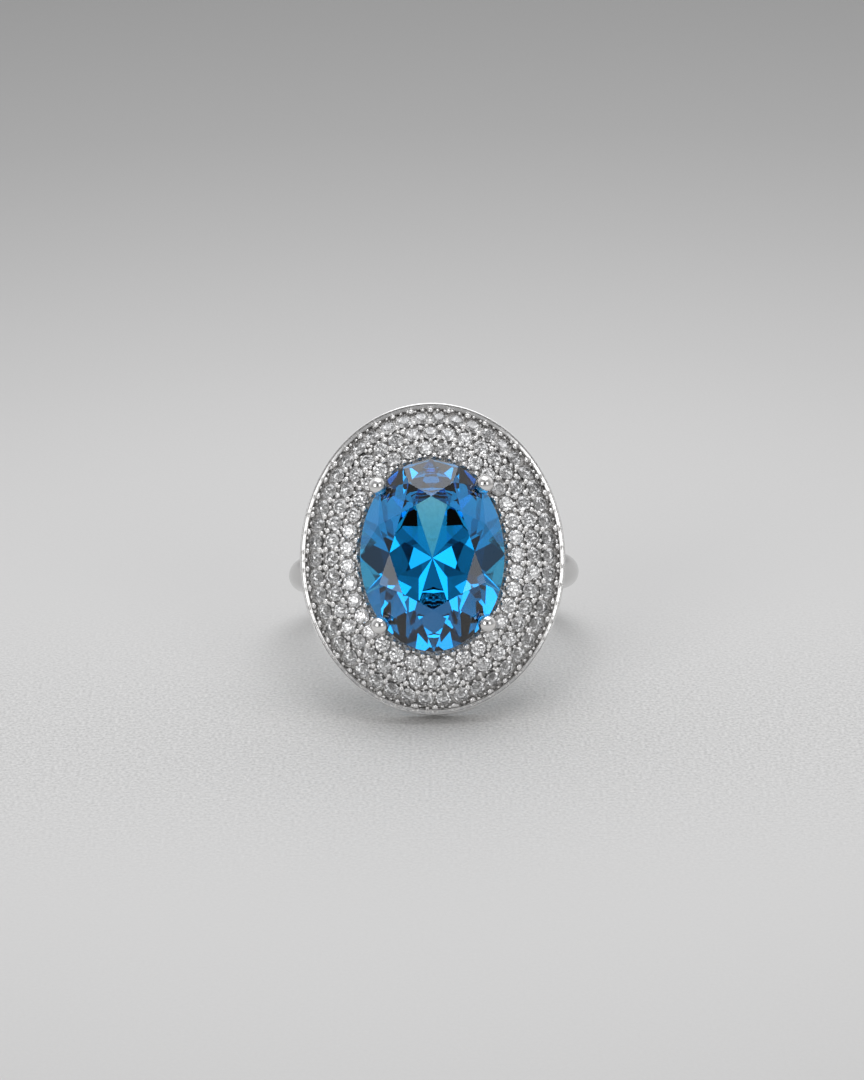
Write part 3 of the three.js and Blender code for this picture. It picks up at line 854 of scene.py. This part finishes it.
# Light painted on the floor: its tone by distance from the ring, as a share of a reach in metres,
# brightest round the ring, darker further behind and lighter again at the far end.
FLOOR_LIGHT_REACH = 0.4
FLOOR_PAINTED_LIGHT = [
    (0.0, 0.66),
    (0.1, 0.66),
    (0.17, 0.59),
    (0.26, 0.495),
    (0.36, 0.42),
    (0.52, 0.365),
    (0.62, 0.35),
    (1.0, 0.6),
]
FLOOR_WARMTH = (1, 0.992, 0.976)
# Where the paper's grain is crispest, how far it fades out, and its strength near and far.
GRAIN_SCALE = 4800
GRAIN_LINE = -12 * MM
GRAIN_REACH = 26 * MM
GRAIN_STRENGTH = (0.8, 0.06)
GRAIN_DEPTH = 0.12


def painted_floor_light(nodes, links, place):
    """The floor's colour from how far it is from the ring: a pool of light painted round the ring."""
    away = nodes.new("ShaderNodeVectorMath")
    away.operation = "LENGTH"
    links.new(place, away.inputs[0])
    light_ramp = nodes.new("ShaderNodeValToRGB")
    share = new_math(nodes, links, "MULTIPLY", away.outputs["Value"], 1 / FLOOR_LIGHT_REACH)
    links.new(share, light_ramp.inputs["Fac"])
    ramp = light_ramp.color_ramp
    ramp.interpolation = "B_SPLINE"
    for _ in range(len(FLOOR_PAINTED_LIGHT) - len(ramp.elements)):
        ramp.elements.new(0.5)
    for element, (position, tone) in zip(ramp.elements, FLOOR_PAINTED_LIGHT):
        element.position = position
        element.color = (*[tone * part for part in FLOOR_WARMTH], 1)
    return light_ramp.outputs["Color"]


def grain_strength(nodes, links, place):
    """How crisp the paper's grain is, by the distance from the line where it is crispest."""
    parts = nodes.new("ShaderNodeSeparateXYZ")
    links.new(place, parts.inputs[0])
    shift = new_math(nodes, links, "SUBTRACT", parts.outputs["Y"], GRAIN_LINE)
    distance = new_math(nodes, links, "ABSOLUTE", shift)
    return new_range(nodes, links, distance, (0, GRAIN_REACH, *GRAIN_STRENGTH), "SMOOTHSTEP")


def floor_material():
    """Matt paper, with light painted in brightest round the ring, and a fine grain."""
    material, nodes, links, shader, _ = new_material("paper_floor")
    shader.inputs["Roughness"].default_value = 0.75
    shader.inputs["Specular IOR Level"].default_value = 0.25
    place = nodes.new("ShaderNodeTexCoord").outputs["Object"]
    grain = noise(nodes, links, place, GRAIN_SCALE, 2)
    strength = grain_strength(nodes, links, place)
    fleck = new_math(nodes, links, "SUBTRACT", grain, 0.5)
    amount = new_math(nodes, links, "MULTIPLY_ADD", fleck, strength, 1.0)
    tone = nodes.new("ShaderNodeVectorMath")
    tone.operation = "SCALE"
    links.new(painted_floor_light(nodes, links, place), tone.inputs[0])
    links.new(amount, tone.inputs["Scale"])
    links.new(tone.outputs["Vector"], shader.inputs["Base Color"])
    bump = new_bump(nodes, links, grain, None, GRAIN_DEPTH)
    links.new(strength, bump.inputs["Strength"])
    links.new(bump.outputs["Normal"], shader.inputs["Normal"])
    return material


def make_floor():
    """A wide flat sheet that the ring stands on."""
    mesh = bpy.data.meshes.new("floor")
    corners = [(-1, -1), (1, -1), (1, 1), (-1, 1)]
    mesh.from_pydata([(x * FLOOR_SIZE, y * FLOOR_SIZE, 0) for x, y in corners], [], [(0, 1, 2, 3)])
    mesh.materials.append(floor_material())
    floor = bpy.data.objects.new("floor", mesh)
    bpy.context.scene.collection.objects.link(floor)


def softbox(name, place, target, size, power, colour=(1, 1, 1)):
    """A rectangular light that faces its target. Its power is in watts."""
    light = bpy.data.lights.new(name, "AREA")
    light.shape = "RECTANGLE"
    light.size, light.size_y = size
    light.energy = power
    light.color = colour
    holder = bpy.data.objects.new(name, light)
    holder.location = place
    direction = Vector(target) - Vector(place)
    holder.rotation_euler = direction.to_track_quat("-Z", "Y").to_euler()
    bpy.context.scene.collection.objects.link(holder)


# The studio's brightness in front and all round, behind the ring, in the dark gap where the photographer
# stands, and where the camera sees it.
WORLD_LIGHT = 0.36
WORLD_BACK = 0.9
WORLD_DARK = 0.03
WORLD_SEEN = 0.35
BACK_RANGE = (-0.3, 0.6)  # y of the direction, from the one brightness to the other
PHOTOGRAPHER = (0, -0.885, 0.466)
DARK_RANGE = (0.956, 0.988)  # cosine of the angle from the photographer, from the gap's edge inwards
WORLD_COLOUR = (0.98, 0.985, 1, 1)


def mix_values(nodes, links, factor, first, second):
    """A blend from a value to a fixed number."""
    node = nodes.new("ShaderNodeMix")
    node.inputs["B"].default_value = second
    links.new(factor, node.inputs["Factor"])
    links.new(first, node.inputs["A"])
    return node.outputs["Result"]


def make_world():
    """A soft studio, brighter behind, darkest towards the photographer, and plain where it is seen."""
    world = bpy.data.worlds.new("studio")
    world.use_nodes = True
    bpy.context.scene.world = world
    nodes, links = world.node_tree.nodes, world.node_tree.links
    place = nodes.new("ShaderNodeTexCoord").outputs["Generated"]
    parts = nodes.new("ShaderNodeSeparateXYZ")
    links.new(place, parts.inputs[0])
    brightness = (*BACK_RANGE, WORLD_LIGHT, WORLD_BACK)
    room = new_range(nodes, links, parts.outputs["Y"], brightness, "SMOOTHSTEP")
    towards = nodes.new("ShaderNodeVectorMath")
    towards.operation = "DOT_PRODUCT"
    towards.inputs[1].default_value = PHOTOGRAPHER
    links.new(place, towards.inputs[0])
    front = new_range(nodes, links, towards.outputs["Value"], (*DARK_RANGE, 0, 1), "SMOOTHSTEP")
    dimmed = mix_values(nodes, links, front, room, WORLD_DARK)
    seen = nodes.new("ShaderNodeLightPath").outputs["Is Camera Ray"]
    strength = mix_values(nodes, links, seen, dimmed, WORLD_SEEN)
    links.new(strength, nodes["Background"].inputs["Strength"])
    nodes["Background"].inputs["Color"].default_value = WORLD_COLOUR


def make_light():
    """A large soft light above, and a smaller one at the front left and right."""
    make_world()
    softbox("overhead", (0.02, 0.03, 0.36), (0, 0, 0), (0.34, 0.26), 0.55, (0.97, 0.975, 1))
    softbox("left_box", (-0.19, -0.27, 0.15), (0, 0, 0.01), (0.17, 0.2), 0.2)
    softbox("right_box", (0.19, -0.27, 0.15), (0, 0, 0.01), (0.15, 0.18), 0.11)


# The camera's angles in degrees, its distance from the stone in millimetres, and its lens.
CAMERA_TURN = -0.38
CAMERA_RISE = 20.53
CAMERA_ROLL = 1.11
CAMERA_DISTANCE = 220
CAMERA_LENS = 117.6
CAMERA_LIFT = 0.95 * MM  # the point it looks at is this far above the camera's target in the stone
TARGET_RISE = 0.15  # that target is this far above the girdle's lower edge, in millimetres


def make_camera():
    """The camera, in front of the ring and a little above it."""
    turn, rise, roll = (math.radians(a) for a in (CAMERA_TURN, CAMERA_RISE, CAMERA_ROLL))
    ahead = Vector((math.sin(turn) * math.cos(rise), math.cos(turn) * math.cos(rise), -math.sin(rise)))
    right = ahead.cross(Vector((0, 0, 1))).normalized()
    up = right.cross(ahead)
    target = to_world @ Vector((0, 0, GIRDLE_BOTTOM_Z + TARGET_RISE)) + up * CAMERA_LIFT
    rolled_right = right * math.cos(roll) - up * math.sin(roll)
    rolled_up = right * math.sin(roll) + up * math.cos(roll)
    data = bpy.data.cameras.new("camera")
    data.lens = CAMERA_LENS
    data.clip_start = 1 * MM
    data.clip_end = 10
    camera = bpy.data.objects.new("camera", data)
    camera.matrix_world = Matrix.Translation(target - ahead * CAMERA_DISTANCE * MM) @ (
        Matrix((rolled_right, rolled_up, -ahead)).transposed().to_4x4()
    )
    bpy.context.scene.collection.objects.link(camera)
    bpy.context.scene.camera = camera


centre_stone()
prongs()
rails()
halo_plate()
halo_rim()
pave_stones()
beads()
shank()
shoulders()
struts()
make_floor()
make_light()
make_camera()
bpy.context.scene.view_settings.view_transform = "Standard"
